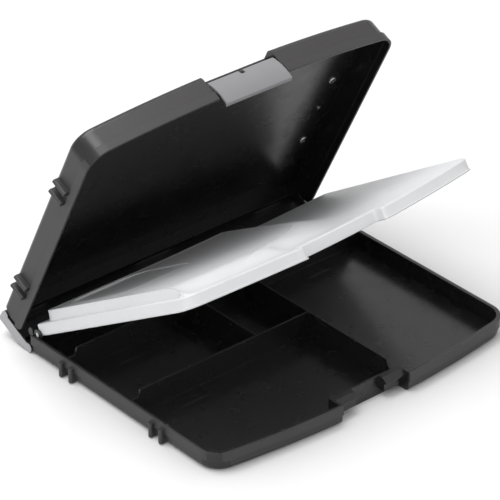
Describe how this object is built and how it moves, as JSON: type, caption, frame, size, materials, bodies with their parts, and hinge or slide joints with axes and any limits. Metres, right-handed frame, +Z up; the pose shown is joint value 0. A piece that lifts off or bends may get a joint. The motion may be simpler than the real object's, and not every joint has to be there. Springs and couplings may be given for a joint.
{
  "type": "storage clipboard",
  "caption": "Hinged storage clipboard box with a divided base, a lift-up inner tray, a front latch and a spring paper clip on the lid.",
  "frame": {"origin": "centre of the base's flat underside, on the surface it lies on", "axes": "+X along the long side to the end with the paper clip, +Y to the hinge side, +Z up"},
  "size_m": [0.34, 0.3014, 0.2538],
  "materials": {
    "charcoal_plastic": "fine matte outside, satin inside",
    "silver_plastic": "satin",
    "pale_plastic": "satin",
    "black_plastic": "satin",
    "frosted_plastic": "frosted, translucent",
    "steel": "bright drawn",
    "plated_steel": "nickel plated",
    "rubber": "matte"
  },
  "bodies": {
    "base": {"base_tray": "charcoal_plastic"},
    "spine": {"spine_cover": "silver_plastic", "spine_liner": "black_plastic", "lower_rod": "steel", "upper_rod": "steel"},
    "lid": {"lid_shell": "charcoal_plastic", "latch_pin": "steel", "clip_plate": "plated_steel", "clip_rivets": "steel", "clip_stud": "steel", "clip_rod": "steel", "clip_springs": "steel"},
    "tray": {"inner_tray": "frosted_plastic"},
    "latch": {"latch": "pale_plastic"},
    "clip": {"clip_lever": "plated_steel", "clip_grip": "rubber"}
  },
  "joints": [
    {"name": "spine_hinge", "type": "hinge", "parent": "base", "child": "spine", "pos_m": [0, 0.126, 0.0045], "axis": [-1, 0, 0], "range_deg": [-63.4, 8]},
    {"name": "lid_hinge", "type": "hinge", "parent": "spine", "child": "lid", "pos_m": [0, 0.15846, 0.02187], "axis": [-1, 0, 0], "range_deg": [0, 95]},
    {"name": "tray_hinge", "type": "hinge", "parent": "base", "child": "tray", "pos_m": [0, 0.117, 0.0205], "axis": [-1, 0, 0], "range_deg": [-31, 4]},
    {"name": "latch_hinge", "type": "hinge", "parent": "lid", "child": "latch", "pos_m": [0.00075, 0.04034, 0.24791], "axis": [-1, 0, 0], "range_deg": [-9, 80]},
    {"name": "clip_hinge", "type": "hinge", "parent": "lid", "child": "clip", "pos_m": [0.146, 0.11375, 0.13705], "axis": [0, 0.4478, -0.8942], "range_deg": [0, 14], "stiffness_Nm_per_rad": 1.2, "springref_deg": -14.32, "deforming": ["clip_springs"]}
  ],
  "couplings": [
    {"joint": "tray_hinge", "follows": "spine_hinge", "ratio": 0.48896}
  ]
}
